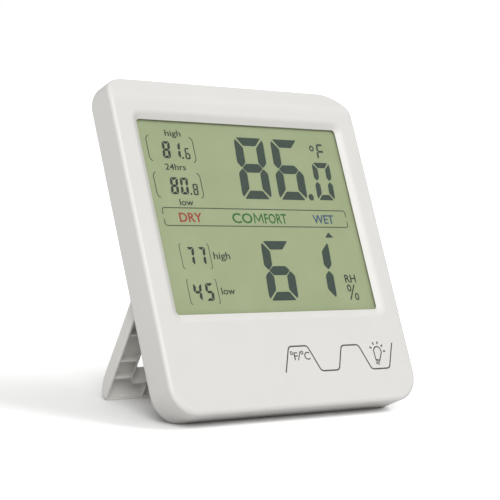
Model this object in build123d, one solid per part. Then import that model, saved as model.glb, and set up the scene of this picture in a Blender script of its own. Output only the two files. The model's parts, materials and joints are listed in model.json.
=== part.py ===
"""Desk thermometer and hygrometer with a stored high and low reading.

It is modelled upright, with X to the right, Y from the face to the back and Z up the face.
At the end it leans back on its open stand, with the ground at Z = 0.
All sizes are in millimetres.
"""

from build123d import *
from math import asin, atan2, cos, degrees, hypot, radians, sin, tan
import os

# ---- casing ----
case_width = 100.0
case_height = 109.0
rim_depth = 11.5            # depth of the side walls
corner_radius = 9.3
side_wall = 1.8
face_wall = 2.0
cover_wall = 1.4
front_round = 1.3
rear_round = 1.4
slope_height = 7.7          # of the top edge's slope, down from the top
slope_angle = 30.0          # of the sloped top edge, from upright
slope_round = 7.0
cover_gap = 0.15            # rear cover inside the side walls

# ---- display opening ----
view_width = 82.2
view_height = 63.2
view_drop = 46.4            # of its middle below the top of the casing
view_corner = 1.3
bevel_width = 2.1
lip_depth = 1.45            # thickness of the casing at the edge of the opening
bevel_depth = 1.35
bevel_round = 2.5           # where the bevel meets the face
tape_thickness = 0.1
tape_inset = 0.6            # of the tape behind the lip
lens_thickness = 0.5
lens_border = 2.6           # how far the lens runs under the lip
seat_gap = 0.2

# ---- display sandwich ----
glass_thickness = 0.7
polarizer_thickness = 0.2
glass_border = 1.1          # how far the glass runs past the visible area
contact_ledge = 2.4         # strip of rear glass with the contacts, at the top
guide_thickness = 1.2
reflector_thickness = 0.2
layer_gap = 0.05
holder_wall = 1.7
holder_plate = 1.0

# ---- stand ----
stand_side_gap = 2.9        # between its sides and the outside of the casing
stand_depth = 4.25
stand_leg = 36.75           # from the hinge axis to the foot
stand_corner = 1.2
stand_skin = 1.0
stand_rim = 0.6
rib_thickness = 0.55
rib_heights = (8.2, 14.4, 23.8)   # above the foot, across the two legs
foot_ribs = 3               # on each side of the middle one, below the window
foot_rib_pitch = 11.0
rib_drop = 0.25             # of the ribs below the stand's front
hinge_height = 40.08        # above the lower edge of the casing
hinge_depth = 10.7          # of the hinge axis behind the face
open_angle = 50.0
leg_front_width = 7.3       # of each leg beside the stand's window
leg_back_width = 11.35
window_front_low = 6.4      # of the window's lower edge above the foot
window_back_low = 9.2
window_front_corner = 2.8
window_back_corner = 0.6
foot_curve = 7.2            # length of the curve on the back of the foot
heel_length = 1.5           # of the leg beyond the hinge axis
heel_round = 0.25
foot_flat = 0.4             # flat end of the foot, before its curved back
toe_round = 0.35
sole_cut = 0.15             # flats worn into the two edges that touch the ground
pin_radius = 1.5
pin_gap = 0.06
recess_gap = 0.5            # under the folded stand
pocket_gap = 0.25           # round the folded stand's corners, in the casing's own corners
stop_gap = 0.02             # between the open stand's heel and the end of its recess

# ---- battery housing on the back ----
hump_side_gap = 0.45        # between the housing and the stand's legs
hump_depth = 18.5
hump_top = 48.0
hump_round = 1.2
swing_gap = 0.4             # between the stand's window and the housing
cell_radius = 5.25
cell_length = 44.5
bay_half_length = 26.3
bay_low = 17.4
bay_wall = 1.2
cell_gap = 0.15
door_thickness = 1.3
door_half_width = 29.0
door_flare = 0.8            # each side edge leans outwards by this much
door_overlap = 0.9
door_gap = 0.12

rail_width = 3.0            # of the door's rails, beyond its inner edge
spring_wire = 0.3           # radius
spring_radius = 3.4
spring_taper = -18
spring_turns = 3.5
plate_thickness = 0.4
plate_size = (8.0, 8.4)
pole_radius = 1.9
pole_length = 1.1
cell_round = 0.6
grip_count = 5              # grooves on the door
grip_pitch = 1.3
grip_size = (14.0, 0.35, 0.6)

# ---- electronics ----
board_thickness = 1.0
board_half_width = 40.0
board_low = 48.6
board_high = 94.0
board_screw_radius = 0.7
board_screw_head = (1.5, 0.9)         # radius and height
board_screw_slot = (0.4, 0.4)         # width and depth
controller_place = (0.0, 62.0)
controller_radius = 5.2
controller_height = 1.3
controller_dome = 12.0
crystal_place = (0.0, 73.0)
crystal_size = (8.0, 2.4, 2.0)
chip_size = (2.0, 0.6, 1.3)
chip_rows = (56.0, 61.5)
chip_first = -34.0
chip_pitch = 4.2
chips_in_row = 6
sensor_size = 6.0
sensor_height = 1.5
sensor_port = 1.2
switch_size = 5.2
switch_height = 1.0
plunger_radius = 1.2
plunger_height = 0.2
selector_body = (9.0, 1.3, 3.8)
lamp_size = (1.4, 3.2)
lamp_room = 0.4             # round each lamp, in the light guide's notch
strip_half_length = 32.0
touch_spots = [(3.0, 15.0), (35.5, 15.0)]
pad_radius = 3.8
pad_thickness = 0.2
touch_board_x = (-4.0, 42.0)
touch_board_z = (9.5, 20.5)
touch_board_depth = 1.0
wire_radius = 0.3
wire_places = (28.05, 28.95)
wire_bend = 0.9

# ---- rear controls ----
reset_place = (20.0, 62.0)
reset_radius = 2.2
reset_travel = 0.6
flange_thickness = 0.5
flange_border = 0.8
selector_place = (20.0, 78.0)
selector_travel = 3.0
knob_width = 4.2
knob_height = 2.6
knob_gap = 0.15
knob_rise = 0.5             # above the back of the casing
knob_groove_pitch = 0.8
knob_groove_width = 0.4
knob_flange = (7.2, 4.4)
sensor_place = (-24.0, 78.0)
vent_count = 5
vent_pitch = 3.2
vent_size = (15.0, 1.5)
hanger_place = (0.0, 86.0)
hanger_radius = 3.6
hanger_slot_radius = 1.9
hanger_drop = 6.5

# ---- screws ----
high_screw_inset = 8.0      # from the sides
high_screw_drop = 7.8       # from the top
low_screw_inset = 3.2       # from the sides of the battery housing
low_screw_height = 23.6
case_post_radius = 2.4
screw_room = 0.15           # round the shank and the head
screw_cross = (2.4, 0.5, 0.7)         # length, width and depth of the cross in the head
screw_round = 0.4
screw_radius = 1.0
screw_head_radius = 1.9
screw_head = 1.3
screw_bite = 4.5
low_seat = 9.0              # depth at which the lower screw heads sit

# ---- worked out from the sizes above ----
slope_tan = tan(radians(slope_angle))
slope_start = case_height - slope_height
view_middle = case_height - view_drop
stand_half_width = case_width / 2 - stand_side_gap
window_front_half = stand_half_width - leg_front_width
window_back_half = stand_half_width - leg_back_width
hump_half_width = window_back_half - hump_side_gap
high_screws = [(side * (case_width / 2 - high_screw_inset), case_height - high_screw_drop)
               for side in (-1, 1)]
low_screws = [(side * (hump_half_width - low_screw_inset), low_screw_height) for side in (-1, 1)]
slope_back = (case_height - slope_start) * slope_tan
recess_floor = hinge_depth - stand_depth / 2 - recess_gap
recess_back = recess_floor - cover_wall + 0.2
heel_reach = hypot(heel_length - heel_round, stand_depth / 2 - heel_round)
heel_lead = degrees(atan2(stand_depth / 2 - heel_round, heel_length - heel_round))
recess_top = hinge_height + heel_reach * cos(radians(open_angle - heel_lead)) + heel_round + stop_gap
swing_radius = hypot(stand_leg - window_back_low, stand_depth / 2) - swing_gap
door_face = hump_depth - door_thickness
cell_depth = door_face - 0.1 - cell_radius
bay_floor = cell_depth - cell_radius - 0.1
bay_high = bay_low + 4 * cell_radius + 4 * cell_gap + 0.4
cell_heights = (bay_low + cell_gap + cell_radius, bay_high - cell_gap - cell_radius)
door_low = bay_low - door_overlap

lens_front = lip_depth + tape_thickness
front_film = lens_front + lens_thickness + 2 * layer_gap
front_glass = front_film + polarizer_thickness
rear_glass = front_glass + glass_thickness
rear_film = rear_glass + glass_thickness
guide_front = rear_film + polarizer_thickness + layer_gap
reflector_front = guide_front + guide_thickness
stack_back = reflector_front + reflector_thickness
board_front = stack_back + layer_gap + holder_plate
board_back = board_front + board_thickness
glass_half = view_width / 2 + glass_border
glass_low = view_middle - view_height / 2 - glass_border
glass_high = view_middle + view_height / 2 + glass_border
glass_top = glass_high + contact_ledge


# ---------- small helpers ----------
def block(x, y, z):
    """A box from its low and high values along each axis."""
    size = (x[1] - x[0], y[1] - y[0], z[1] - z[0])
    middle = ((x[0] + x[1]) / 2, (y[0] + y[1]) / 2, (z[0] + z[1]) / 2)
    return Pos(*middle) * Box(*size)


def panel(sketch, low, high, x=0.0, z=0.0):
    """A flat drawing, X right and Y up, made solid from depth low to depth high."""
    upright = Plane(origin=(x, low, z), x_dir=(1, 0, 0), z_dir=(0, -1, 0))
    return extrude(upright * sketch, -(high - low))


def rod(radius, low, high, x, z):
    """A round bar along Y."""
    return panel(Circle(radius), low, high, x, z)


def cross_rod(radius, low, high, y, z):
    """A round bar along X."""
    ends = Plane(origin=(low, y, z), x_dir=(0, 1, 0), z_dir=(1, 0, 0))
    return extrude(ends * Circle(radius), high - low)


def side_prism(points, half):
    """A drawing of (depth, height) points, made solid across X from -half to half."""
    side = Plane(origin=(-half, 0, 0), x_dir=(0, 1, 0), z_dir=(1, 0, 0))
    return extrude(side * make_face(Polyline(*points, close=True)), 2 * half)


def case_outline(inset):
    radius = corner_radius - inset
    return RectangleRounded(case_width - 2 * inset, case_height - 2 * inset, radius)


def case_prism(inset, low, high):
    return panel(case_outline(inset), low, high, z=case_height / 2)


def one_solid(shape):
    """The single solid of a boolean result, or a compound of its solids."""
    solids = shape.solids()
    return solids[0] if len(solids) == 1 else Compound(solids)


def group(shapes):
    """Separate solids kept together in one node."""
    return Compound([solid for shape in shapes for solid in shape.solids()])


def in_view(inset=0.0):
    """The display opening's outline, made larger by the inset."""
    width = view_width + 2 * inset
    height = view_height + 2 * inset
    return RectangleRounded(width, height, view_corner + max(inset, 0.0))


# ---------- casing ----------
def case_blank():
    """The casing's outside: rounded corners, and a top edge that slopes back."""
    prism = case_prism(0, 0, rim_depth)
    corners = [(0, 0), (rim_depth, 0), (rim_depth, case_height),
               (slope_back, case_height), (0, slope_start)]
    side = Plane(origin=(-case_width, 0, 0), x_dir=(0, 1, 0), z_dir=(1, 0, 0))
    outline = make_face(Polyline(*corners, close=True))
    bend = outline.vertices().sort_by_distance((0, slope_start, 0))[0]
    profile = fillet(bend, slope_round)
    blank = one_solid(prism & extrude(side * profile, 2 * case_width))
    rear = blank.edges().filter_by_position(Axis.Y, rim_depth - 0.01, rim_depth + 0.01)
    blank = fillet(rear, rear_round)
    return fillet(front_loop(blank), front_round)


def front_loop(blank):
    """The closed run of edges between the face and the side walls."""
    found = []
    for edge in blank.edges():
        spot = edge @ 0.5
        direction = edge % 0.5
        along_depth = abs(direction.Y) > 0.99
        seam = abs(direction.X) > 0.99 and 1.0 < spot.Z < case_height - 1.0
        behind = spot.Y > slope_back + 0.5
        if not (along_depth or seam or behind):
            found.append(edge)
    return found


def case_cavity():
    """The hollow behind the face, with the same slope at the top."""
    prism = case_prism(side_wall, face_wall, rim_depth + 1)
    shift = side_wall / cos(radians(slope_angle))
    top = case_height + 1
    start = slope_start + (face_wall - shift) / slope_tan
    slope_end = (top - slope_start) * slope_tan + shift
    points = [(face_wall, -1), (rim_depth + 1, -1), (rim_depth + 1, top),
              (slope_end, top), (face_wall, start)]
    return prism & side_prism(points, case_width)


def view_opening():
    """The bevelled opening, and the seat for the lens behind it."""
    outer = Plane(origin=(0, -0.01, view_middle), x_dir=(1, 0, 0), z_dir=(0, -1, 0))
    inner = Plane(origin=(0, bevel_depth, view_middle), x_dir=(1, 0, 0), z_dir=(0, -1, 0))
    bevel = loft([outer * in_view(bevel_width), inner * in_view()])
    straight = panel(in_view(), 0, face_wall + 0.1, z=view_middle)
    seat = panel(in_view(lens_border + seat_gap), lip_depth, face_wall + 0.1, z=view_middle)
    return bevel, straight, seat


def front_shell():
    shell = case_blank() - case_cavity()
    for cut in view_opening():
        shell -= cut
    shell = fillet(bevel_loop(shell), bevel_round)
    for cut in stand_pockets():
        shell -= cut
    for x, z in high_screws:
        shell += rod(case_post_radius, face_wall, high_seat() - cover_wall, x, z) - slope_outside()
        shell -= rod(screw_radius, high_seat() - screw_bite, rim_depth, x, z)
    for x, z in low_screws:
        shell += rod(case_post_radius, face_wall - 0.2, low_seat - cover_wall, x, z)
        shell -= rod(screw_radius, low_seat - screw_bite, rim_depth, x, z)
    return one_solid(shell - ground())


def bevel_loop(shell):
    """The edges between the face and the bevel round the display."""
    near_face = shell.edges().filter_by_position(Axis.Y, -0.02, 0.02)
    half = view_width / 2 + bevel_width + 0.1
    top = view_middle + view_height / 2 + bevel_width + 0.1
    return [edge for edge in near_face if abs((edge @ 0.5).X) < half and (edge @ 0.5).Z < top
            and (edge @ 0.5).Z > 2 * view_middle - top]


def stand_pockets():
    """Room in the casing's lower corners for the folded stand's corners."""
    front, _, foot, _ = stand_limits()
    x = (case_width / 2 - corner_radius, stand_half_width + pocket_gap)
    z = (foot - pocket_gap, corner_radius)
    room = RectangleRounded(x[1] - x[0], z[1] - z[0], stand_corner + pocket_gap)
    return [panel(room, front - pocket_gap, rim_depth + 1, side * (x[0] + x[1]) / 2, (z[0] + z[1]) / 2)
            for side in (-1, 1)]


def slope_outside():
    """Everything in front of the casing's sloped top edge."""
    shift = side_wall / 2
    top = case_height + 5
    points = [(-5, slope_start), (shift, slope_start),
              (shift + (top - slope_start) * slope_tan, top), (-5, top)]
    return side_prism(points, case_width)


def high_seat():
    return rim_depth - screw_head - 0.1


def below_recess(low, high):
    """The part of the rear cover's outline that lies below the top of the recess."""
    limit = block((-case_width, case_width), (low - 1, high + 1), (-5, recess_top + cover_wall))
    return case_prism(side_wall + cover_gap, low, high) & limit


def above_recess(inset, low, high):
    limit = block((-case_width, case_width), (low - 1, high + 1), (recess_top, case_height + 5))
    return case_prism(side_wall + cover_gap + inset, low, high) & limit


def hump(inset):
    """The battery housing's block. Its lower end follows the stand's swing."""
    half = hump_half_width - inset
    body = block((-half, half), (recess_back, hump_depth - inset), (0, hump_top - inset))
    swing = cross_rod(swing_radius - inset, -half, half, hinge_depth, hinge_height)
    upper = block((-half, half), (0, hump_depth + 1), (hinge_height, hump_top + 1))
    return one_solid(body & (swing + upper))


def rounded_hump():
    body = hump(0)
    rear = body.faces().sort_by(Axis.Y)[-1]
    body = fillet(rear.edges(), hump_round)
    return body


def door_prism(gap):
    """The door's slide, wider inside than outside, open at the top."""
    inner = door_half_width + gap
    outer = inner - door_flare
    points = [(-inner, door_face), (inner, door_face), (outer, hump_depth + 1), (-outer, hump_depth + 1)]
    flare = Plane(origin=(0, 0, door_low - gap), x_dir=(1, 0, 0), z_dir=(0, 0, 1))
    return extrude(flare * make_face(Polyline(*points, close=True)), case_height)


def bay_walls():
    """The battery tub inside the housing."""
    half = bay_half_length + bay_wall
    outside = block((-half, half), (recess_back, door_face),
                    (bay_low - bay_wall, bay_high + bay_wall))
    return outside & hump(0.3)


def bay_hollow():
    half = bay_half_length
    return block((-half, half), (bay_floor, hump_depth + 1), (bay_low, bay_high))


def rear_cover():
    plate = above_recess(0, rim_depth - cover_wall, rim_depth)
    lip = above_recess(0, rim_depth - cover_wall - 1.5, rim_depth - cover_wall)
    lip -= above_recess(1.2, 0, rim_depth)
    lip -= block((-case_width, case_width), (0, rim_depth), (0, recess_top + cover_wall + 0.01))
    width = case_width / 2 - side_wall - cover_gap
    end_wall = block((-width, width), (recess_back, rim_depth), (recess_top, recess_top + cover_wall))
    cover = plate + lip + end_wall + below_recess(recess_back, recess_floor)
    cover += rounded_hump()
    inside = hump(cover_wall)
    ledge_half = door_half_width + rail_width - 1
    ledge = block((-ledge_half, ledge_half), (door_face - 1.1, door_face), (0, hump_top)) & hump(0.5)
    cover -= inside
    cover -= block((-hump_half_width + cover_wall, hump_half_width - cover_wall),
                   (0, rim_depth - cover_wall), (recess_top - 1, hump_top + 1))
    cover += ledge + bay_walls()
    for x, z in low_screws:
        tube = rod(screw_head_radius + 1.1, low_seat - cover_wall, hump_depth - 0.5, x, z)
        cover += tube & hump(0.3)
        cover -= rod(screw_head_radius + screw_room, low_seat, hump_depth + 1, x, z)
        cover -= rod(screw_radius + screw_room, 0, hump_depth, x, z)
        cover -= rod(case_post_radius + 0.1, 0, low_seat - cover_wall, x, z)
    for x, z in high_screws:
        cover += rod(screw_head_radius + 1.1, high_seat() - cover_wall, rim_depth - 0.5, x, z)
        cover -= rod(screw_head_radius + screw_room, high_seat(), rim_depth + 1, x, z)
        cover -= rod(screw_radius + screw_room, 0, rim_depth, x, z)
    cover -= bay_hollow()
    cover -= door_prism(door_gap)
    cover -= cross_rod(pin_radius + pin_gap, -case_width, case_width, hinge_depth, hinge_height)
    for cut in rear_cuts():
        cover -= cut
    return one_solid(cover)


def rear_cuts():
    """Vents, hanging slot, and the openings for the button and the knob."""
    cuts = []
    for i in range(vent_count):
        z = sensor_place[1] + (i - (vent_count - 1) / 2) * vent_pitch
        cuts.append(panel(SlotOverall(*vent_size), 8, rim_depth + 1, sensor_place[0], z))
    x, z = hanger_place
    cuts.append(rod(hanger_radius, 8, rim_depth + 1, x, z))
    slot = SlotOverall(hanger_drop + 2 * hanger_slot_radius, 2 * hanger_slot_radius, rotation=90)
    cuts.append(panel(slot, 8, rim_depth + 1, x, z + hanger_drop / 2))
    cuts.append(rod(reset_radius + knob_gap, 8, rim_depth + 1, *reset_place))
    opening = SlotOverall(selector_travel + knob_width + 2 * knob_gap, knob_height + 2 * knob_gap)
    cuts.append(panel(opening, 8, rim_depth + 1, selector_place[0] + selector_travel / 2, selector_place[1]))
    return cuts


# ---------- display ----------
def window_tape():
    ring = in_view(lens_border) - in_view(tape_inset)
    return panel(ring, lip_depth, lens_front, z=view_middle)


def display_window():
    return panel(in_view(lens_border), lens_front, lens_front + lens_thickness, z=view_middle)


def glass_sheet(low, high, top, inset=0.0):
    half = glass_half - inset
    return block((-half, half), (low, high), (glass_low + inset, top - inset))


def display_layers():
    film = polarizer_thickness
    return {
        "lcd_front_polarizer": glass_sheet(front_film, front_film + film, glass_high, 0.3),
        "lcd_front_glass": glass_sheet(front_glass, front_glass + glass_thickness, glass_high),
        "lcd_rear_glass": glass_sheet(rear_glass, rear_glass + glass_thickness, glass_top),
        "lcd_rear_polarizer": glass_sheet(rear_film, rear_film + film, glass_high, 0.3),
        "light_guide": light_guide(),
        "reflector_sheet": glass_sheet(reflector_front, stack_back, glass_high, 0.2),
    }


def light_guide():
    """A clear plate with a notch in each side for its lamps."""
    plate = glass_sheet(guide_front, guide_front + guide_thickness, glass_high, 0.2)
    for x, z in lamp_places():
        room = (lamp_size[0] / 2 + lamp_room, lamp_size[1] / 2 + lamp_room)
        plate -= block((x - room[0], x + room[0]), (0, stack_back), (z - room[1], z + room[1]))
    return one_solid(plate)


def lamp_places():
    side = glass_half - 0.9
    return [(-side, view_middle), (side, view_middle)]


def backlight_leds():
    depth = (guide_front + 0.1, guide_front + guide_thickness - 0.1)
    half = (lamp_size[0] / 2, lamp_size[1] / 2)
    return group([block((x - half[0], x + half[0]), depth, (z - half[1], z + half[1]))
                  for x, z in lamp_places()])


def lcd_holder():
    """A frame round the display, and the plate that carries the main board."""
    half = glass_half + 0.2
    low = glass_low - 0.2
    high = glass_top + 0.2
    outer = block((-half - holder_wall, half + holder_wall), (face_wall + 0.1, stack_back + layer_gap),
                  (low - holder_wall, high + holder_wall))
    inner = block((-half, half), (0, 20), (low, high))
    plate = block((-half - holder_wall, half + holder_wall), (stack_back + layer_gap, board_front),
                  (board_low - 0.6, high + holder_wall))
    windows = block((-26, 26), (0, 20), (board_low + 12, board_high - 14))
    holder = (outer - inner) + (plate - windows)
    for x, z in board_screw_places():
        holder -= rod(board_screw_radius, 0, 20, x, z)
    for x, z in high_screws:
        holder -= rod(case_post_radius + 0.3, 0, 20, x, z)
    return one_solid(holder - zebra_box(0.1))


def zebra_box(gap):
    depth = (rear_glass + glass_thickness, board_front)
    half = strip_half_length + gap
    return block((-half, half), depth, (glass_high + 0.3 - gap, glass_top - 0.3 + gap))


def zebra_strips():
    return zebra_box(0)


# ---------- electronics ----------
def board_screw_places():
    return [(x, z) for x in (-37.5, 37.5) for z in (board_low + 3, board_high - 5)]


def main_board():
    board = block((-board_half_width, board_half_width), (board_front, board_back),
                  (board_low, glass_top - 0.1))
    for x, z in board_screw_places():
        board -= rod(board_screw_radius + 0.25, 0, 20, x, z)
    return one_solid(board)


def board_screws():
    radius, height = board_screw_head
    width, depth = board_screw_slot
    top = board_back + height
    screws = []
    for x, z in board_screw_places():
        shank = rod(board_screw_radius, board_front - 0.9, board_back, x, z)
        head = rod(radius, board_back, top, x, z)
        slot = block((x - 2, x + 2), (top - depth, top + 1), (z - width / 2, z + width / 2))
        screws.append(shank + head - slot)
    return group(screws)


def controller_blob():
    """A drop of black resin over the bare chip."""
    x, z = controller_place
    drop = Pos(x, board_back + controller_height - controller_dome, z) * Sphere(controller_dome)
    return one_solid(drop & rod(controller_radius, board_back, board_back + 5, x, z))


def crystal():
    length, width, height = crystal_size
    return panel(SlotOverall(length, width), board_back, board_back + height, *crystal_place)


def smd_parts():
    """Chip resistors and capacitors in two rows."""
    width, height, depth = chip_size
    chips = []
    for z in chip_rows:
        for i in range(chips_in_row):
            x = chip_first + i * chip_pitch
            chips.append(block((x - width / 2, x + width / 2), (board_back, board_back + height),
                               (z - depth / 2, z + depth / 2)))
    return group(chips)


def humidity_sensor():
    """A small square sensor with a round port, behind the vents."""
    x, z = sensor_place
    half = sensor_size / 2
    top = board_back + sensor_height
    body = block((x - half, x + half), (board_back, top), (z - half, z + half))
    return one_solid(body - rod(sensor_port, top - 0.6, top + 1, x, z))


def reset_switch():
    x, z = reset_place
    half = switch_size / 2
    top = board_back + switch_height
    body = block((x - half, x + half), (board_back, top), (z - half, z + half))
    return one_solid(body + rod(plunger_radius, top - 0.1, top + plunger_height, x, z))


def reset_button():
    """A round cap, held in by its flange. It stands clear of the switch by its travel."""
    x, z = reset_place
    inner = rim_depth - cover_wall - layer_gap
    low = board_back + switch_height + plunger_height + reset_travel + 0.1
    cap = rod(reset_radius, low, rim_depth - 0.1, x, z)
    cap = fillet(cap.edges().filter_by_position(Axis.Y, rim_depth - 0.2, rim_depth), 0.3)
    return one_solid(cap + rod(reset_radius + flange_border, inner - flange_thickness, inner, x, z))


def selector_switch():
    x, z = selector_place
    middle = x + selector_travel / 2
    length, height, width = selector_body
    return block((middle - length / 2, middle + length / 2), (board_back, board_back + height),
                 (z - width / 2, z + width / 2))


def selector_knob():
    """A sliding knob with grip ridges, on a flange behind the cover."""
    x, z = selector_place
    inner = rim_depth - cover_wall - layer_gap
    low = inner - flange_thickness
    grip = panel(SlotOverall(knob_width, knob_height), low, rim_depth + knob_rise, x, z)
    half = knob_groove_width / 2
    for i in (-1, 0, 1):
        middle = x + i * knob_groove_pitch
        grip -= block((middle - half, middle + half), (rim_depth + 0.2, rim_depth + 1), (z - 2, z + 2))
    width, height = knob_flange
    flange = block((x - width / 2, x + width / 2), (low, inner), (z - height / 2, z + height / 2))
    return one_solid(grip + flange)


def touch_pads():
    return group([rod(pad_radius, face_wall, face_wall + pad_thickness, x, z) for x, z in touch_spots])


def touch_board():
    front = face_wall + pad_thickness
    return block(touch_board_x, (front, front + touch_board_depth), touch_board_z)


def tube(points, radius, bend):
    """A wire along straight runs joined by arcs."""
    path = FilletPolyline(*points, radius=bend)
    start = Plane(origin=path @ 0, z_dir=path % 0)
    return sweep(start * Circle(radius), path=path)


def touch_wires():
    """A pair of wires up the gap beside the battery tub to the main board."""
    start = face_wall + pad_thickness + touch_board_depth
    height = touch_board_z[1] - 2
    low = recess_back
    high = board_back + wire_radius
    pair = []
    for x in wire_places:
        points = [(x, start, height), (x, low, height), (x, low, board_low - 4),
                  (x, high, board_low - 1.6), (x, high, board_low + 4)]
        pair.append(tube(points, wire_radius, wire_bend))
    return group(pair)


# ---------- battery ----------
def cell(side, height):
    """A cell along X, its raised pole towards the given side."""
    half = cell_length / 2 - pole_length
    barrel = cross_rod(cell_radius, -half, half, cell_depth, height)
    barrel = fillet(barrel.edges().filter_by(GeomType.CIRCLE), cell_round)
    ends = mirrored(side, half - 0.1, half + pole_length)
    return one_solid(barrel + cross_rod(pole_radius, *ends, cell_depth, height))


def mirrored(side, low, high):
    """A range along X on the given side of the middle."""
    return (low, high) if side > 0 else (-high, -low)


def battery_springs():
    """A cone spring at each cell's flat end."""
    end = bay_half_length - 0.1 - plate_thickness
    room = end - (cell_length / 2 - pole_length) - 2 * spring_wire - 0.1
    springs = []
    for side, height in zip((-1, 1), cell_heights):
        helix = Helix(pitch=room / spring_turns, height=room, radius=spring_radius, cone_angle=spring_taper,
                      center=(0, 0, 0), direction=(0, 0, 1))
        coil = sweep((helix ^ 0) * Circle(spring_wire), path=helix)
        turn = Plane(origin=(side * (end - spring_wire - layer_gap), cell_depth, height),
                     x_dir=(0, 1, 0), z_dir=(-side, 0, 0))
        springs.append(turn.location * coil)
    return group(springs)


def battery_plates():
    """Sheet-metal plates: one under each spring, one behind each raised pole."""
    end = bay_half_length - 0.1
    depth, width = plate_size[0] / 2, plate_size[1] / 2

    def plate(side, height):
        return block(mirrored(side, end - plate_thickness, end), (cell_depth - depth, cell_depth + depth),
                     (height - width, height + width))

    tie = block(mirrored(-1, end - plate_thickness, end), (cell_depth - 2, cell_depth + 2), cell_heights)
    left = one_solid(plate(-1, cell_heights[0]) + plate(-1, cell_heights[1]) + tie)
    return group([left, *(plate(1, height) for height in cell_heights)])


def battery_door():
    body = rounded_hump() & door_prism(0)
    length, depth, width = grip_size
    for i in range(grip_count):
        z = hump_top - 8 + i * grip_pitch
        body -= block((-length / 2, length / 2), (hump_depth - depth, hump_depth + 1),
                      (z - width / 2, z + width / 2))
    return one_solid(body)


# ---------- stand ----------
def stand_flat():
    """The stand folded against the back, hinge axis along X at height hinge_height."""
    front, back, foot, top = stand_limits()
    slab = block((-stand_half_width, stand_half_width), (front, back), (foot, top))
    low_edges = slab.edges().filter_by(Axis.Y).group_by(Axis.Z)[0]
    slab = fillet(low_edges, stand_corner)
    window = stand_window(0.0)
    hollow = panel(stand_plan(stand_rim), front - 1, back - stand_skin)
    hollow -= stand_window(stand_rim)
    side = Plane(origin=(-case_width, 0, 0), x_dir=(0, 1, 0), z_dir=(1, 0, 0))
    hollow -= extrude(side * behind_foot(stand_skin), 2 * case_width)
    body = slab - hollow
    for height in rib_heights:
        z = foot + height
        body += block((-stand_half_width + 0.2, stand_half_width - 0.2), (front + rib_drop, back - 0.2),
                      (z - rib_thickness / 2, z + rib_thickness / 2)) & slab
    for i in range(-foot_ribs, foot_ribs + 1):
        x = i * foot_rib_pitch
        body += block((x - rib_thickness / 2, x + rib_thickness / 2), (front + rib_drop, back - 0.2),
                      (foot + 0.2, foot + window_back_low)) & slab
    body -= window
    body += hinge_bosses()
    body &= foot_shape()
    return one_solid(body)


def stand_plan(inset):
    """The hollow's outline: the whole leg and foot, made smaller by the inset."""
    foot = hinge_height - stand_leg + inset
    top = hinge_height + heel_length - 2.5 * inset
    half = stand_half_width - inset
    plan = Pos(0, (foot + top) / 2) * Rectangle(2 * half, top - foot)
    low = plan.vertices().group_by(Axis.Y)[0]
    return fillet(low, stand_corner - inset)


def stand_window(margin):
    """The window between the legs, wider in front than behind, larger by the margin."""
    front, back, foot, _ = stand_limits()
    top = hinge_height + 10

    def outline(depth, half, low, radius):
        shape = Pos(0, (foot + low + top) / 2) * Rectangle(2 * half, top - foot - low)
        corners = shape.vertices().group_by(Axis.Y)[0]
        flat = Plane(origin=(0, depth, 0), x_dir=(1, 0, 0), z_dir=(0, -1, 0))
        return flat * fillet(corners, radius + margin)

    wide = outline(front, window_front_half + margin, window_front_low - margin, window_front_corner)
    narrow = outline(back, window_back_half + margin, window_back_low - margin, window_back_corner)
    return loft([wide, narrow])


def hinge_bosses():
    """Round bosses and pins that hold the stand in the housing's side walls."""
    parts = None
    boss = (stand_depth / 2, window_back_half, stand_half_width - 0.5)
    pin = (pin_radius, hump_half_width - cover_wall, window_back_half + 1)
    for side in (-1, 1):
        for radius, low, high in (boss, pin):
            piece = cross_rod(radius, *mirrored(side, low, high), hinge_depth, hinge_height)
            parts = piece if parts is None else parts + piece
    return parts


def foot_shape():
    """The stand's side profile: a curved back at the foot and a small round heel."""
    front, back, foot, top = stand_limits()
    outline = make_face(Polyline((front, foot), (back, foot), (back, top), (front, top), close=True))
    heel = outline.vertices().group_by(Axis.Y)[-1]
    outline = fillet(heel, heel_round)
    outline -= behind_foot(0)
    toe = outline.vertices().sort_by_distance((front, foot, 0))[0]
    outline = fillet(toe, toe_round)
    side = Plane(origin=(-case_width, 0, 0), x_dir=(0, 1, 0), z_dir=(1, 0, 0))
    return extrude(side * outline, 2 * case_width)


def behind_foot(inset):
    """What the foot's curve leaves out, as a flat (depth, height) drawing."""
    front, back, foot, _ = stand_limits()
    start = front + foot_flat
    corner = Pos((start + back) / 2 + 1, foot + foot_curve / 2) * Rectangle(back - start + 2, foot_curve)
    curve = Ellipse(back - start - inset, foot_curve - inset)
    return corner - Pos(start, foot + foot_curve) * curve


def stand_limits():
    """Front and back depths of the folded stand, and the heights of its foot and heel."""
    front = hinge_depth - stand_depth / 2
    foot = hinge_height - stand_leg
    return front, front + stand_depth, foot, hinge_height + heel_length


def opened(shape):
    """The stand's parts, swung out to the stop."""
    axis = Axis((0, hinge_depth, hinge_height), (1, 0, 0))
    return shape.rotate(axis, open_angle)


def foot_point():
    """Middle of the rounded toe of the open stand, as (depth, height)."""
    swing = radians(open_angle)
    across = -stand_depth / 2 + toe_round
    along = stand_leg - toe_round
    depth = hinge_depth + across * cos(swing) + along * sin(swing)
    height = hinge_height + across * sin(swing) - along * cos(swing)
    return depth, height


def lean_angle():
    """The lean at which the casing's rear edge and the stand's toe both meet the ground."""
    depth, height = foot_point()
    rise = height - rear_round
    run = depth - (rim_depth - rear_round)
    extra = asin((rear_round - toe_round) / hypot(rise, run))
    return degrees(atan2(rise, run) + extra)


def ground_height():
    """Height of the ground along the leaned Z axis, before the model is moved."""
    lean = radians(lean_angle())
    return rear_round * cos(lean) - (rim_depth - rear_round) * sin(lean) - rear_round + sole_cut


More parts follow.
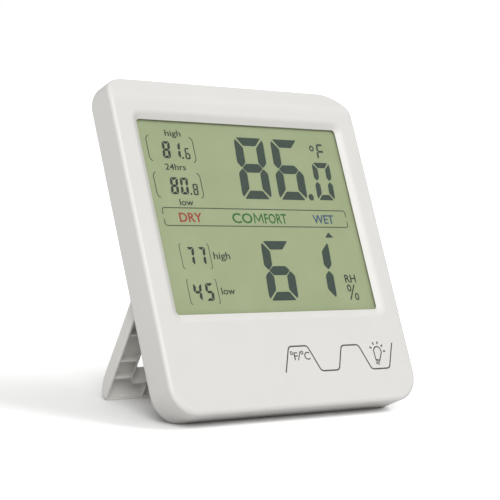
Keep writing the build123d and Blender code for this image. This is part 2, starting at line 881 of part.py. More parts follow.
def ground():
    """Everything below the ground, in the upright model."""
    slab = Pos(0, 0, ground_height() - 50) * Box(400, 400, 100)
    return slab.rotate(Axis.X, lean_angle())


# ---------- screws ----------
def case_screw(x, z, seat):
    top = seat + screw_head
    shank = rod(screw_radius, seat - screw_bite + 0.3, seat, x, z)
    head = rod(screw_head_radius, seat, top, x, z)
    head = fillet(head.edges().filter_by_position(Axis.Y, top - 0.01, top + 0.01), screw_round)
    long, wide = screw_cross[0] / 2, screw_cross[1] / 2
    depth = (top - screw_cross[2], top + 1)
    cross = block((x - long, x + long), depth, (z - wide, z + wide))
    cross += block((x - wide, x + wide), depth, (z - long, z + long))
    return one_solid(shank + head - cross)


def case_screws():
    screws = [case_screw(x, z, high_seat()) for x, z in high_screws]
    screws += [case_screw(x, z, low_seat) for x, z in low_screws]
    return group(screws)


# ---------- assembly ----------
def build_nodes():
    nodes = {
        "front_shell": front_shell(),
        "rear_cover": rear_cover(),
        "window_tape": window_tape(),
        "display_window": display_window(),
        **display_layers(),
        "backlight_leds": backlight_leds(),
        "lcd_holder": lcd_holder(),
        "zebra_strips": zebra_strips(),
        "main_board": main_board(),
        "board_screws": board_screws(),
        "controller_blob": controller_blob(),
        "crystal": crystal(),
        "smd_parts": smd_parts(),
        "humidity_sensor": humidity_sensor(),
        "reset_switch": reset_switch(),
        "reset_button": reset_button(),
        "selector_switch": selector_switch(),
        "selector_knob": selector_knob(),
        "touch_pads": touch_pads(),
        "touch_board": touch_board(),
        "touch_wires": touch_wires(),
        "battery_1": cell(1, cell_heights[0]),
        "battery_2": cell(-1, cell_heights[1]),
        "battery_springs": battery_springs(),
        "battery_plates": battery_plates(),
        "battery_door": battery_door(),
        "stand": one_solid(opened(stand_flat()) - ground()),
        "case_screws": case_screws(),
    }
    return nodes


def placed(nodes):
    """Leans the model back and puts the middle of its footprint at the origin."""
    leaned = {name: shape.rotate(Axis.X, -lean_angle()) for name, shape in nodes.items()}
    boxes = [shape.bounding_box() for shape in leaned.values()]
    middle_x = (min(b.min.X for b in boxes) + max(b.max.X for b in boxes)) / 2
    middle_y = (min(b.min.Y for b in boxes) + max(b.max.Y for b in boxes)) / 2
    shift = Pos(-middle_x, -middle_y, -ground_height())
    print("lean", round(lean_angle(), 4), "shift", round(-middle_y, 4), round(-ground_height(), 4))
    return {name: shift * shape for name, shape in leaned.items()}


os.makedirs("parts", exist_ok=True)
for name, shape in placed(build_nodes()).items():
    export_step(shape, f"parts/{name}.step")
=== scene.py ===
"""Looks of a desk thermometer and hygrometer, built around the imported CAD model.

Places on the device are given in millimetres in the face's own directions: x to the right,
z up the face from its lower edge, and depth from the face towards the back.
"""
import json
import math

import bmesh
import bpy
from mathutils import Matrix, Vector, geometry


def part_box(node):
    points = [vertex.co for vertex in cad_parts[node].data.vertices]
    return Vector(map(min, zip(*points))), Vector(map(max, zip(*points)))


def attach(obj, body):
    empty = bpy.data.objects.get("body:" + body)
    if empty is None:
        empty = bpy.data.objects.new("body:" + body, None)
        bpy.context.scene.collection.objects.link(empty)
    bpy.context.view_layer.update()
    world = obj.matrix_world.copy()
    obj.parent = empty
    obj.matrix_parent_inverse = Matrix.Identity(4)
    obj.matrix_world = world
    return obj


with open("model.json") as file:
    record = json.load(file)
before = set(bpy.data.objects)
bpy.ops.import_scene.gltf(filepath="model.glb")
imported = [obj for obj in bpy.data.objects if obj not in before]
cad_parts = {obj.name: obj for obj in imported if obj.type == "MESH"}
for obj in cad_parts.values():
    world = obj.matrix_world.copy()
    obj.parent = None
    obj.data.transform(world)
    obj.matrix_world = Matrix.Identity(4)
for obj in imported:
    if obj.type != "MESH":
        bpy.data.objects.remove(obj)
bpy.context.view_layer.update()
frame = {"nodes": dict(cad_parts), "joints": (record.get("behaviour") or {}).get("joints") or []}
nodes = frame["nodes"]
joints = {joint["name"]: joint for joint in frame["joints"]}

MM = 0.001
RIGHT = Vector((1, 0, 0))
UP = Vector(joints["door_slide"]["axis"]).normalized()
BACK = -Vector(joints["reset_press"]["axis"]).normalized()
shell_points = [vertex.co for vertex in nodes["front_shell"].data.vertices]
FACE_DEPTH = min(point.dot(BACK) for point in shell_points)
FACE_LOW = min(point.dot(UP) for point in shell_points)


def at(x, z, depth):
    """The point of the row frame at a place on the device, given in millimetres."""
    return RIGHT * x * MM + UP * (FACE_LOW + z * MM) + BACK * (FACE_DEPTH + depth * MM)


def depth_range(node):
    """Nearest and farthest depth of a CAD node behind the face, in millimetres."""
    depths = [(vertex.co.dot(BACK) - FACE_DEPTH) / MM for vertex in nodes[node].data.vertices]
    return min(depths), max(depths)


# ---------------------------------------------------------------- camera and light
CAMERA_PLACE = (-346.68, -83.45, -384.9)      # x, z and depth
CAMERA_AHEAD = (0.6384, 0.2539, 0.7266)
CAMERA_UP = (0.0, 0.944, -0.3299)
CAMERA_LENS = 122.4


def direction(x, z, depth):
    """A direction of the row frame, from its parts along the device's own directions."""
    return (RIGHT * x + UP * z + BACK * depth).normalized()


def add_camera():
    """Looks at the device from its left and from a little above it."""
    data = bpy.data.cameras.new("camera")
    data.lens = CAMERA_LENS
    data.clip_start = 0.01
    camera = bpy.data.objects.new("camera", data)
    bpy.context.scene.collection.objects.link(camera)
    back = -direction(*CAMERA_AHEAD)
    right = direction(*CAMERA_UP).cross(back).normalized()
    up = back.cross(right)
    turn = Matrix((right, up, back)).transposed().to_4x4()
    camera.matrix_world = Matrix.Translation(at(*CAMERA_PLACE)) @ turn
    bpy.context.scene.camera = camera


def add_sun(name, towards, strength, angle, only=None):
    """A soft distant lamp. With only, it lights that one object, and all objects shade it."""
    data = bpy.data.lights.new(name, "SUN")
    data.energy = strength
    data.angle = math.radians(angle)
    lamp = bpy.data.objects.new(name, data)
    bpy.context.scene.collection.objects.link(lamp)
    lamp.rotation_mode = "QUATERNION"
    lamp.rotation_quaternion = Vector(towards).normalized().to_track_quat("Z", "Y")
    if only:
        group = bpy.data.collections.new(name)
        group.objects.link(only)
        lamp.light_linking.receiver_collection = group


def add_world(light, backdrop):
    """A plain studio: soft white light from all round, in front of a white backdrop."""
    world = bpy.data.worlds.new("studio")
    bpy.context.scene.world = world
    world.use_nodes = True
    tree = world.node_tree
    tree.nodes.clear()
    soft = tree.nodes.new("ShaderNodeBackground")
    soft.inputs["Strength"].default_value = light
    white = tree.nodes.new("ShaderNodeBackground")
    white.inputs["Strength"].default_value = backdrop
    for node in (soft, white):
        node.inputs["Color"].default_value = (1, 1, 1, 1)
    path = tree.nodes.new("ShaderNodeLightPath")
    mix = tree.nodes.new("ShaderNodeMixShader")
    out = tree.nodes.new("ShaderNodeOutputWorld")
    tree.links.new(path.outputs["Is Camera Ray"], mix.inputs[0])
    tree.links.new(soft.outputs[0], mix.inputs[1])
    tree.links.new(white.outputs[0], mix.inputs[2])
    tree.links.new(mix.outputs[0], out.inputs["Surface"])


def add_floor():
    """A plain pale floor, a hair below the feet."""
    mesh = bpy.data.meshes.new("floor")
    size = 20.0
    height = -0.00002
    corners = [(-size, -size, height), (size, -size, height), (size, size, height), (-size, size, height)]
    mesh.from_pydata(corners, [], [(0, 1, 2, 3)])
    floor = bpy.data.objects.new("floor", mesh)
    bpy.context.scene.collection.objects.link(floor)
    paint = Material("floor")
    paint.set(Roughness=0.7, **{"Specular IOR Level": 0.2})
    paint.colour_noise((0.92, 0.92, 0.915), 0.01, 12.0)
    mesh.materials.append(paint.material)
    dim_bounce(paint, grey=0.5)
    return floor


def dim_bounce(paint, grey):
    """Seen by the camera it is as painted, but for the light that it throws it is only grey."""
    tree = paint.tree
    dull = tree.nodes.new("ShaderNodeBsdfDiffuse")
    dull.inputs["Color"].default_value = (grey, grey, grey, 1)
    path = tree.nodes.new("ShaderNodeLightPath")
    mix = tree.nodes.new("ShaderNodeMixShader")
    out = tree.nodes["Material Output"]
    paint.link(path.outputs["Is Camera Ray"], mix.inputs[0])
    paint.link(dull.outputs[0], mix.inputs[1])
    paint.link(paint.shader.outputs[0], mix.inputs[2])
    paint.link(mix.outputs[0], out.inputs["Surface"])


# ---------------------------------------------------------------- materials
NOISE_LOW = 0.3             # most of a noise's values lie between these two
NOISE_HIGH = 0.7
WHITE_PLASTIC = (222, 220, 216)             # display values of 0 to 255, as for all that linear takes
SHADED_PLASTIC = (220, 218, 214)
STAND_PLASTIC = (220, 218, 213)
FILM_SHADES = ((154, 166, 125), (158, 170, 129), (162, 173, 133))
SLEEVE = (0.03, 0.035, 0.045)
SLEEVE_BAND = (0.55, 0.30, 0.06)
BAND_START = 0.70           # share of a cell's length before its coloured band
BAND_EDGE = 0.005


def linear(red, green, blue):
    """Linear colour from display values of 0 to 255."""
    def one(value):
        value /= 255
        return value / 12.92 if value <= 0.04045 else ((value + 0.055) / 1.055) ** 2.4
    return one(red), one(green), one(blue)


class Material:
    """A node material with its colour variation and its surface relief."""

    def __init__(self, name):
        self.material = bpy.data.materials.new(name)
        self.material.use_nodes = True
        self.tree = self.material.node_tree
        self.shader = self.tree.nodes["Principled BSDF"]
        self.place = self.tree.nodes.new("ShaderNodeTexCoord").outputs["Object"]

    def set(self, **values):
        for name, value in values.items():
            self.shader.inputs[name].default_value = value

    def link(self, output, target):
        self.tree.links.new(output, target)

    def noise(self, scale, detail=4.0, roughness=0.6):
        node = self.tree.nodes.new("ShaderNodeTexNoise")
        node.inputs["Scale"].default_value = scale
        node.inputs["Detail"].default_value = detail
        node.inputs["Roughness"].default_value = roughness
        self.link(self.place, node.inputs["Vector"])
        return node.outputs["Fac"]

    def ramp(self, source, stops):
        node = self.tree.nodes.new("ShaderNodeValToRGB")
        band = node.color_ramp
        while len(band.elements) < len(stops):
            band.elements.new(0.5)
        for element, (position, colour) in zip(band.elements, stops):
            element.position = position
            element.color = (*colour, 1)
        self.link(source, node.inputs["Fac"])
        return node.outputs["Color"]

    def colour_noise(self, colour, spread, scale):
        """A base colour that varies a little, lighter and darker by the spread."""
        dark = tuple(channel * (1 - spread) for channel in colour)
        light = tuple(min(channel * (1 + spread), 1) for channel in colour)
        varied = self.ramp(self.noise(scale), [(NOISE_LOW, dark), (NOISE_HIGH, light)])
        self.link(varied, self.shader.inputs["Base Color"])

    def rough_noise(self, low, high, scale):
        node = self.tree.nodes.new("ShaderNodeMapRange")
        node.inputs["From Min"].default_value = NOISE_LOW
        node.inputs["From Max"].default_value = NOISE_HIGH
        node.inputs["To Min"].default_value = low
        node.inputs["To Max"].default_value = high
        self.link(self.noise(scale), node.inputs["Value"])
        self.link(node.outputs["Result"], self.shader.inputs["Roughness"])

    def grain(self, scale, height):
        """Fine relief: height is in metres."""
        node = self.tree.nodes.new("ShaderNodeBump")
        node.inputs["Strength"].default_value = 1.0
        node.inputs["Distance"].default_value = height
        self.link(self.noise(scale, 2.0, 0.5), node.inputs["Height"])
        self.link(node.outputs["Normal"], self.shader.inputs["Normal"])


def plastic(name, colour, low=0.38, high=0.46, spread=0.012, grain=0.000012):
    """Moulded plastic with a fine spark-eroded texture."""
    paint = Material(name)
    paint.colour_noise(colour, spread, 45.0)
    paint.rough_noise(low, high, 220.0)
    paint.grain(2600.0, grain)
    return paint


def metal(name, colour, low, high):
    paint = Material(name)
    paint.set(Metallic=1.0)
    paint.colour_noise(colour, 0.06, 400.0)
    paint.rough_noise(low, high, 900.0)
    paint.grain(3000.0, 0.000004)
    return paint


def clear(name, tint, alpha, rough):
    """A thin clear sheet: mostly see-through, with its own gloss."""
    paint = Material(name)
    paint.colour_noise(tint, 0.01, 30.0)
    paint.set(Alpha=alpha, IOR=1.49)
    paint.rough_noise(rough, rough + 0.03, 60.0)
    return paint


def display_film():
    """The grey-green reflective display, with its very faint mottling."""
    paint = Material("display_film")
    places = (NOISE_LOW, (NOISE_LOW + NOISE_HIGH) / 2, NOISE_HIGH)
    stops = [(place, linear(*shade)) for place, shade in zip(places, FILM_SHADES)]
    paint.link(paint.ramp(paint.noise(55.0), stops), paint.shader.inputs["Base Color"])
    paint.rough_noise(0.5, 0.56, 300.0)
    paint.grain(4200.0, 0.000003)
    return paint


def ink(name, red, green, blue):
    paint = Material(name)
    paint.colour_noise(linear(red, green, blue), 0.05, 900.0)
    paint.rough_noise(0.45, 0.6, 1500.0)
    return paint


def board_paint():
    """Green solder mask over copper tracks that show through it."""
    paint = Material("circuit_board")
    tracks = paint.tree.nodes.new("ShaderNodeTexBrick")
    tracks.inputs["Scale"].default_value = 260.0
    tracks.inputs["Mortar Size"].default_value = 0.035
    tracks.inputs["Color1"].default_value = (0.012, 0.11, 0.035, 1)
    tracks.inputs["Color2"].default_value = (0.016, 0.13, 0.04, 1)
    tracks.inputs["Mortar"].default_value = (0.05, 0.24, 0.07, 1)
    paint.link(paint.place, tracks.inputs["Vector"])
    paint.link(tracks.outputs["Color"], paint.shader.inputs["Base Color"])
    paint.rough_noise(0.25, 0.38, 300.0)
    paint.grain(1800.0, 0.00001)
    return paint


def cell_sleeve(name):
    """A printed battery sleeve with a coloured band at its raised end, the end farther out."""
    paint = Material(name)
    low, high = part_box(name)
    raised_right = low[0] + high[0] >= 0
    split = paint.tree.nodes.new("ShaderNodeSeparateXYZ")
    paint.link(paint.place, split.inputs[0])
    node = paint.tree.nodes.new("ShaderNodeMapRange")
    node.inputs["From Min"].default_value = low[0]
    node.inputs["From Max"].default_value = high[0]
    paint.link(split.outputs["X"], node.inputs["Value"])
    edge = BAND_START + BAND_EDGE
    stops = [(0.0, SLEEVE), (BAND_START, SLEEVE), (edge, SLEEVE_BAND), (1.0, SLEEVE_BAND)]
    if not raised_right:
        stops = [(1 - place, colour) for place, colour in reversed(stops)]
    paint.link(paint.ramp(node.outputs["Result"], stops), paint.shader.inputs["Base Color"])
    paint.set(Metallic=0.6)
    paint.rough_noise(0.25, 0.34, 300.0)
    paint.grain(900.0, 0.000008)
    return paint


def paint_nodes():
    """A material for every CAD node."""
    casing = plastic("casing_plastic", linear(*WHITE_PLASTIC))
    cover = plastic("cover_plastic", linear(*SHADED_PLASTIC), 0.42, 0.52, 0.015, 0.00002)
    stand = plastic("stand_plastic", linear(*STAND_PLASTIC), 0.40, 0.5, 0.015, 0.000015)
    black = plastic("black_plastic", (0.02, 0.02, 0.02))
    glass = clear("display_glass", (0.75, 0.8, 0.72), 0.35, 0.05)
    steel = metal("plated_steel", (0.62, 0.62, 0.6), 0.22, 0.36)
    nickel = metal("nickel", (0.72, 0.7, 0.66), 0.16, 0.28)
    board = board_paint()
    looks = {
        "front_shell": casing,
        "rear_cover": cover,
        "battery_door": cover,
        "stand": stand,
        "window_tape": plastic("foam_tape", (0.03, 0.03, 0.03), 0.8, 0.95, 0.1, 0.00004),
        "display_window": clear("lens_clear", (0.5, 0.5, 0.48), 0.025, 0.04),
        "lcd_front_polarizer": display_film(),
        "lcd_rear_polarizer": display_film(),
        "lcd_front_glass": glass,
        "lcd_rear_glass": glass,
        "light_guide": clear("light_guide_clear", (0.9, 0.93, 0.9), 0.4, 0.2),
        "reflector_sheet": plastic("reflector_white", (0.85, 0.85, 0.84), 0.5, 0.6),
        "backlight_leds": plastic("lamp_resin", (0.8, 0.75, 0.4), 0.2, 0.3),
        "lcd_holder": plastic("holder_plastic", (0.75, 0.75, 0.73)),
        "zebra_strips": plastic("elastomer", (0.4, 0.25, 0.27), 0.6, 0.75),
        "main_board": board,
        "touch_board": board,
        "board_screws": steel,
        "case_screws": steel,
        "controller_blob": plastic("cast_resin", (0.012, 0.012, 0.013), 0.2, 0.35),
        "crystal": metal("crystal_can", (0.7, 0.7, 0.68), 0.2, 0.3),
        "smd_parts": plastic("chip_ceramic", (0.2, 0.15, 0.1), 0.35, 0.5, 0.2),
        "humidity_sensor": plastic("sensor_white", (0.78, 0.79, 0.8)),
        "reset_switch": black,
        "selector_switch": black,
        "reset_button": plastic("button_grey", linear(150, 151, 150)),
        "selector_knob": plastic("knob_grey", linear(96, 97, 97)),
        "touch_pads": metal("tinned_copper", (0.75, 0.5, 0.3), 0.3, 0.4),
        "touch_wires": plastic("wire_insulation", (0.45, 0.03, 0.03), 0.35, 0.5),
        "battery_1": cell_sleeve("battery_1"),
        "battery_2": cell_sleeve("battery_2"),
        "battery_springs": nickel,
        "battery_plates": nickel,
    }
    for name, look in looks.items():
        mesh = nodes[name].data
        mesh.materials.clear()
        mesh.materials.append(look.material)


# ---------------------------------------------------------------- flat shapes on the device
def rounded(points, radius, steps=4):
    """A closed outline whose corners are small arcs."""
    out = []
    count = len(points)
    for i, corner in enumerate(points):
        corner = Vector(corner)
        before = Vector(points[i - 1]) - corner
        after = Vector(points[(i + 1) % count]) - corner
        reach = min(radius, before.length * 0.45, after.length * 0.45)
        start = corner + before.normalized() * reach
        end = corner + after.normalized() * reach
        for step in range(steps + 1):
            t = step / steps
            out.append(start * (1 - t) ** 2 + corner * 2 * t * (1 - t) + end * t ** 2)
    return out


def stroke(points, width, closed=False):
    """The outline, or two outlines where it is closed, of a line of even width."""
    points = [Vector(point) for point in points]
    count = len(points)
    sides = ([], [])
    for i, point in enumerate(points):
        before = points[i - 1] if closed or i else point
        after = points[(i + 1) % count] if closed or i < count - 1 else point
        first = (point - before).normalized() if point != before else (after - point).normalized()
        second = (after - point).normalized() if after != point else first
        normal_1 = Vector((-first.y, first.x))
        normal_2 = Vector((-second.y, second.x))
        middle = (normal_1 + normal_2).normalized()
        reach = width / 2 / max(middle.dot(normal_1), 0.35)
        sides[0].append(point + middle * reach)
        sides[1].append(point - middle * reach)
    if closed:
        return sides
    return [sides[0] + sides[1][::-1]]


def arc(x, z, radius, start, end, steps=16):
    """Points along an arc, its angles in degrees."""
    angles = [math.radians(start + (end - start) * i / steps) for i in range(steps + 1)]
    return [(x + radius * math.cos(a), z + radius * math.sin(a)) for a in angles]


def bend_path(points, radius, steps=6):
    """An open line whose inner corners are arcs of about that radius."""
    out = [Vector(points[0])]
    for i in range(1, len(points) - 1):
        corner = Vector(points[i])
        before = Vector(points[i - 1]) - corner
        after = Vector(points[i + 1]) - corner
        half = before.angle(after) / 2
        reach = min(radius / math.tan(half), before.length * 0.48, after.length * 0.48)
        start = corner + before.normalized() * reach
        end = corner + after.normalized() * reach
        for step in range(steps + 1):
            t = step / steps
            out.append(start * (1 - t) ** 2 + corner * 2 * t * (1 - t) + end * t ** 2)
    out.append(Vector(points[-1]))
    return out


class Sheet:
    """Thin printed shapes gathered into one mesh at one depth."""

    def __init__(self, name, front, back, paint):
        self.name = name
        self.front = front
        self.back = back
        self.paint = paint
        self.mesh = bmesh.new()

    def add(self, *outlines):
        """One shape. Later outlines are holes in the first."""
        loops = [[Vector((x, z, 0)) for x, z in outline] for outline in outlines]
        faces = geometry.tessellate_polygon(loops)
        flat = [point for loop in loops for point in loop]
        fronts = [self.mesh.verts.new(at(point.x, point.y, self.front)) for point in flat]
        backs = [self.mesh.verts.new(at(point.x, point.y, self.back)) for point in flat]
        for face in faces:
            self.mesh.faces.new([fronts[i] for i in face])
            self.mesh.faces.new([backs[i] for i in reversed(face)])
        first = 0
        for loop in loops:
            for i in range(len(loop)):
                a = first + i
                b = first + (i + 1) % len(loop)
                self.mesh.faces.new([fronts[a], fronts[b], backs[b], backs[a]])
            first += len(loop)

    def line(self, points, width, closed=False):
        self.add(*stroke(points, width, closed))

    def text(self, words, x, z, height, width, weight):
        """Plain lettering. Its capitals have that height, and x, z is its lower left corner."""
        points, faces = letter_shapes(words, height, width, weight)
        fronts = [self.mesh.verts.new(at(x + px, z + pz, self.front)) for px, pz in points]
        backs = [self.mesh.verts.new(at(x + px, z + pz, self.back)) for px, pz in points]
        edges = {}
        for face in faces:
            self.mesh.faces.new([fronts[i] for i in face])
            self.mesh.faces.new([backs[i] for i in reversed(face)])
            for a, b in zip(face, face[1:] + face[:1]):
                edges[(a, b)] = edges.get((a, b), 0) + 1
        for a, b in edges:
            if (b, a) not in edges:
                self.mesh.faces.new([fronts[b], fronts[a], backs[a], backs[b]])

    def finish(self):
        bmesh.ops.remove_doubles(self.mesh, verts=self.mesh.verts, dist=0.000001)
        bmesh.ops.recalc_face_normals(self.mesh, faces=self.mesh.faces)
        mesh = bpy.data.meshes.new(self.name)
        self.mesh.to_mesh(mesh)
        self.mesh.free()
        mesh.materials.append(self.paint.material)
        piece = bpy.data.objects.new(self.name, mesh)
        bpy.context.scene.collection.objects.link(piece)
        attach(piece, "casing")


CAPITAL = 0.73              # height of a capital in the plain font, at size 1


def letter_shapes(words, height, width, weight):
    """The words as points and flat faces, scaled so that a capital has the height asked for."""
    curve = bpy.data.curves.new("lettering", "FONT")
    curve.body = words
    curve.size = 1.0
    curve.offset = weight
    curve.resolution_u = 3
    item = bpy.data.objects.new("lettering", curve)
    bpy.context.scene.collection.objects.link(item)
    bpy.context.view_layer.update()
    mesh = item.to_mesh()
    points = [vertex.co.copy() for vertex in mesh.vertices]
    faces = [list(face.vertices) for face in mesh.polygons]
    item.to_mesh_clear()
    bpy.data.objects.remove(item)
    low = min(point.x for point in points)
    high = max(point.x for point in points)
    scale_x = width / (high - low)
    scale_z = height / CAPITAL
    return [((point.x - low) * scale_x, point.y * scale_z) for point in points], faces


# ---------------------------------------------------------------- the display's readings
TEMPERATURE_FOOT = 69.0     # lower edge of the large figures
HUMIDITY_FOOT = 35.0
LARGE_FIGURE = {"width": 12.15, "bar": 3.35, "gap": 0.2, "lean": 1.6, "soft": 0.5}
LARGE_TENTHS = {"width": 7.75, "height": 13.25, "bar": 2.2, "gap": 0.2, "lean": 0.95, "soft": 0.35}
STORED_FIGURE = {"bar": 0.95, "gap": 0.1, "lean": 0.6, "soft": 0.1}
STORED_TENTHS = {"width": 1.95, "height": 3.75, "bar": 0.55, "gap": 0.03, "lean": 0.25, "soft": 0.08}
FINE_LINE = 0.30
COMFORT_BAR = (-37.7, 37.8, 59.7, 65.5)     # left, right, lower and upper edge of its frame
COMFORT_MIDDLE = 62.5       # half-way up its words
LABEL_WEIGHT = 0.012        # how much bolder than the plain font
WORD_WEIGHT = 0.014
SYMBOL_WEIGHT = 0.016
SEGMENTS = {
    "0": "abcdef", "1": "bc", "2": "abdeg", "3": "abcdg", "4": "bcfg",
    "5": "acdfg", "6": "acdefg", "7": "abc", "8": "abcdefg", "9": "abcdfg",
}


def segment_outlines(width, height, bar, gap):
    """The seven segments of a digit, in a cell with its lower left corner at 0, 0."""
    middle = height / 2
    inset = gap * 0.7
    inner = bar + inset
    thick = 0.85 * bar
    nick = 0.12 * bar
    half = 0.5 * bar
    half_cross = 0.45 * bar
    corner = 0.25 * bar + inset
    tip = half + inset
    top = [(corner, height), (width - corner, height),
           (width - inner, height - thick), (inner, height - thick)]
    left = [(nick, height - nick - inset), (bar, height - inner), (bar, middle + tip),
            (half, middle + inset), (0, middle + tip), (0, height - half)]
    right = [(width - nick, height - nick - inset), (width, height - 0.6 * bar), (width, middle + tip),
             (width - half, middle + inset), (width - bar, middle + tip), (width - bar, height - inner)]
    cross = [(tip, middle), (inner, middle + half_cross), (width - inner, middle + half_cross),
             (width - tip, middle), (width - inner, middle - half_cross), (inner, middle - half_cross)]

    def turned(outline):
        return [(width - x, height - z) for x, z in outline]

    return {"a": top, "b": right, "c": turned(left), "d": turned(top), "e": turned(right),
            "f": left, "g": cross}


def digit(sheet, value, x, z, width, height, bar, gap, lean, soft):
    """One digit. lean is how far its top stands to the right of its foot."""
    outlines = segment_outlines(width, height, bar, gap)
    for name in SEGMENTS[value]:
        shape = [(x + px + lean * pz / height, z + pz) for px, pz in outlines[name]]
        sheet.add(rounded(shape, soft))


def bracket(sheet, x, low, high, side, reach, width):
    """A rounded square bracket that opens away from the side it stands on."""
    turn = reach * 1.1
    points = [(x - side * reach, high), (x - side * reach * 0.35, high - turn * 0.35), (x, high - turn),
              (x, low + turn), (x - side * reach * 0.35, low + turn * 0.35), (x - side * reach, low)]
    sheet.line(bend_path(points, reach), width)


def big_readings(sheet):
    """The present temperature, with its point and tenths, and the humidity with its pointer."""
    for value, x in zip("86", (-4.75, 10.55)):
        digit(sheet, value, x, TEMPERATURE_FOOT, height=21.1, **LARGE_FIGURE)
    digit(sheet, "0", 27.2, TEMPERATURE_FOOT + 0.2, **LARGE_TENTHS)
    sheet.add(arc(24.45, TEMPERATURE_FOOT + 1.1, 1.15, 0, 345, 23))
    for value, x in zip("61", (-3.2, 13.35)):
        digit(sheet, value, x, HUMIDITY_FOOT, height=19.8, **LARGE_FIGURE)
    sheet.add(rounded([(26.5, 56.1), (30.0, 56.1), (28.25, 57.9)], 0.1))


def small_readings(sheet):
    """The stored high and low of both readings."""
    def pair(values, places, z, height, width):
        for value, x in zip(values, places):
            digit(sheet, value, x, z, width=width, height=height, **STORED_FIGURE)

    def tenth(value, x, z):
        digit(sheet, value, x, z, **STORED_TENTHS)
        sheet.add(arc(x - 0.95, z + 0.35, 0.36, 0, 330, 11))

    pair("81", (-33.05, -29.1), 81.85, height=5.6, width=3.0)
    tenth("6", -24.35, 81.75)
    pair("80", (-32.85, -29.0), 69.95, height=5.55, width=3.0)
    tenth("8", -24.2, 69.8)
    pair("77", (-32.3, -27.95), 46.9, height=5.85, width=2.85)
    pair("45", (-32.65, -28.05), 35.45, height=5.65, width=3.1)


def fine_lines(sheet):
    """The brackets round the stored readings, and the frame of the comfort bar."""
    for low, high, left, right in ((80.7, 89.2, -38.3, -20.3), (68.8, 77.1, -38.35, -20.35)):
        bracket(sheet, left, low, high, side=-1, reach=1.1, width=FINE_LINE)
        bracket(sheet, right, low, high, side=1, reach=1.1, width=FINE_LINE)
    for low, high, left, right in ((45.7, 53.8, -34.25, -23.0), (34.4, 42.4, -34.2, -22.95)):
        bracket(sheet, left, low, high, side=-1, reach=0.6, width=FINE_LINE * 0.75)
        bracket(sheet, right, low, high, side=1, reach=0.6, width=FINE_LINE * 0.75)
    comfort_frame(sheet, corner=2.2, opening=1.5)


def comfort_frame(sheet, corner, opening):
    """The long frame round the comfort words, open at the middle of both ends."""
    left, right, low, high = COMFORT_BAR
    middle = (high + low) / 2
    for end, edge in ((middle + opening / 2, high), (middle - opening / 2, low)):
        points = [(left, end), (left, edge), (right, edge), (right, end)]
        sheet.line(bend_path(points, corner), FINE_LINE)


def labels(sheet):
    """What each reading is: the words, then the humidity's unit."""
    for words, x, z, height, width in (("high", -30.6, 89.35, 2.05, 6.2), ("24hrs", -33.1, 78.0, 2.1, 8.0),
                                       ("low", -30.4, 66.35, 2.2, 5.3), ("high", -21.75, 48.85, 2.35, 6.5),
                                       ("low", -21.6, 37.4, 2.3, 5.3)):
        sheet.text(words, x, z, height, width, LABEL_WEIGHT)
    sheet.text("RH", 30.75, 40.6, height=2.8, width=4.8, weight=SYMBOL_WEIGHT)
    percent_sign(sheet, 31.0, 34.7, width=3.75, height=5.1)


def percent_sign(sheet, x, z, width, height):
    """A slanted line between two small ovals, with its lower left corner at x, z."""
    sheet.line([(x + 0.35, z), (x + width - 0.55, z + height)], 0.5)
    for px, pz in ((x + 0.75, z + height * 0.78), (x + width - 0.35, z + height * 0.2)):
        sheet.line(oval(px, pz, 0.68, 1.0), 0.46, closed=True)


def oval(x, z, half_width, half_height, steps=20):
    """Points round an oval whose middle is at x, z."""
    angles = [2 * math.pi * i / steps for i in range(steps)]
    return [(x + half_width * math.cos(a), z + half_height * math.sin(a)) for a in angles]


def unit_mark(sheet):
    """The degree ring and a segment-drawn F beside the large reading."""
    sheet.line(oval(29.6, 87.5, 0.75, 0.8), 0.5, closed=True)
    for points in ([(32.25, 88.75), (32.1, 86.7)], [(31.95, 86.3), (31.75, 84.2)],
                   [(32.4, 88.85), (34.5, 88.85)], [(32.3, 86.5), (34.5, 86.5)]):
        sheet.line(points, 0.72)


def add_display():
    """All that the display shows, printed on the film's front, with a gap left below the lens."""
    film_front, _ = depth_range("lcd_front_polarizer")
    _, lens_back = depth_range("display_window")
    front = (film_front + lens_back) / 2
    dark = Sheet("reading_digits", front, film_front, ink("display_dark", 42, 61, 51))
    big_readings(dark)
    unit_mark(dark)
    dark.finish()
    small = Sheet("stored_digits", front, film_front, ink("display_black", 26, 38, 26))
    small_readings(small)
    small.finish()
    lines = Sheet("display_lines", front, film_front, ink("display_line", 62, 74, 50))
    fine_lines(lines)
    lines.finish()
    words = Sheet("display_words", front, film_front, ink("display_word", 44, 56, 38))
    labels(words)
    words.finish()
    comfort_word("dry", (158, 46, 30), front, film_front, height=3.1, parts=[("DRY", -31.75, 8.8)])
    comfort_word("comfort", (30, 104, 36), front, film_front, height=3.4,
                 parts=[("CO", -10.95, 8.2), ("FORT", 2.3, 9.3)])
    comfort_word("wet", (46, 78, 108), front, film_front, height=3.1, parts=[("WET", 23.0, 9.0)])


def comfort_word(name, colour, front, back, height, parts):
    """One coloured word of the comfort bar. A word in two parts has a drawn M between them."""
    foot = COMFORT_MIDDLE - height / 2
    name = f"comfort_word_{name}"
    sheet = Sheet(name, front, back, ink(name, *colour))
    for letters, x, width in parts:
        sheet.text(letters, x, foot, height, width, WORD_WEIGHT)
    if len(parts) > 1:
        letter_m(sheet, -2.0, 1.55, foot, foot + height - 0.35)
    sheet.finish()


def letter_m(sheet, left, right, foot, top):
    """An M drawn as one line, since a bolder M of the plain font closes up."""
    middle = (left + right) / 2
    points = [(left, foot), (left + 0.3, top), (middle, foot + 0.8), (right - 0.3, top), (right, foot)]
    sheet.line(points, 0.45)


# ---------------------------------------------------------------- marks printed on the casing
PRINT_WIDTH = 0.46
PRINT_WEIGHT = 0.006        # of the unit key's letters
PRINT_RISE = 0.02           # of the ink above the face
PRINT_SINK = 0.01


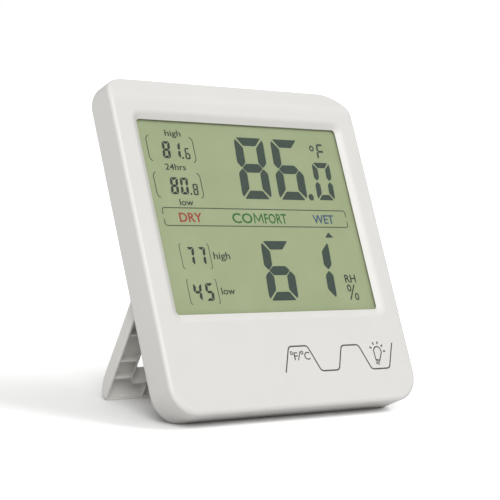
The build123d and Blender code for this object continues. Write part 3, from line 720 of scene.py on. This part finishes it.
def wave_points(x, low, high):
    """The line that frames both touch marks: two slanted humps."""
    return [(x, low), (x + 3.3, high), (x + 10.9, high), (x + 14.7, low - 0.1), (x + 22.2, low - 0.1),
            (x + 25.3, high - 0.45), (x + 32.6, high - 0.45), (x + 36.3, low - 0.5), (x + 44.1, low - 0.5),
            (x + 47.7, high - 0.4)]


def lamp_mark(sheet, x, z, tilt):
    """A bulb with rays, leaning to the right like the line beside it."""
    angle = math.radians(tilt)

    def turned(points):
        return [(x + px * math.cos(angle) + pz * math.sin(angle),
                 z - px * math.sin(angle) + pz * math.cos(angle)) for px, pz in points]

    bulb_radius = 1.62
    neck = 0.85
    neck_drop = -2.85
    inner, outer = 2.5, 3.45
    outline = [(neck, neck_drop), *arc(0, 0, bulb_radius, -28, 208, 20), (-neck, neck_drop)]
    sheet.line(turned(outline), PRINT_WIDTH * 0.9, closed=True)
    for drop, half in ((-3.3, 0.9), (-3.8, 0.85), (-4.25, 0.8)):
        sheet.line(turned([(-half, drop), (half, drop)]), PRINT_WIDTH * 0.6)
    for ray in (14, 52, 90, 128, 166):
        across, upward = math.cos(math.radians(ray)), math.sin(math.radians(ray))
        points = [(inner * across, inner * upward), (outer * across, outer * upward)]
        sheet.line(turned(points), PRINT_WIDTH * 1.15)


def add_prints():
    """The touch marks on the face: the frame line, the lamp and the unit key's letters."""
    sheet = Sheet("touch_marks", -PRINT_RISE, PRINT_SINK, ink("print_grey", 74, 74, 70))
    sheet.line(bend_path(wave_points(-5.0, 11.15, 19.4), 1.7), PRINT_WIDTH)
    lamp_mark(sheet, 35.45, 16.35, tilt=14)
    for x in (-1.15, 3.2):
        sheet.line(oval(x, 17.25, 0.42, 0.5), 0.3, closed=True)
    sheet.text("F", -0.35, 14.95, height=2.65, width=1.65, weight=PRINT_WEIGHT)
    sheet.line([(1.15, 14.85), (2.5, 17.65)], 0.36)
    sheet.text("C", 3.9, 14.9, height=2.65, width=2.3, weight=PRINT_WEIGHT)
    sheet.finish()


# ---------------------------------------------------------------- the whole scene
bpy.context.scene.view_settings.view_transform = "Standard"
bpy.context.scene.view_settings.look = "None"
paint_nodes()
add_display()
add_prints()
floor = add_floor()
add_camera()
add_world(light=0.30, backdrop=1.0)
add_sun("key", towards=(-0.48, -0.58, 0.66), strength=1.85, angle=40)
add_sun("top", towards=(0.15, -0.1, 1.0), strength=0.95, angle=90)
add_sun("floor_wash", towards=(0.75, -0.3, 0.6), strength=3.0, angle=40, only=floor)
add_sun("stand_fill", towards=(-0.42, -0.88, 0.1), strength=0.8, angle=50, only=nodes["stand"])
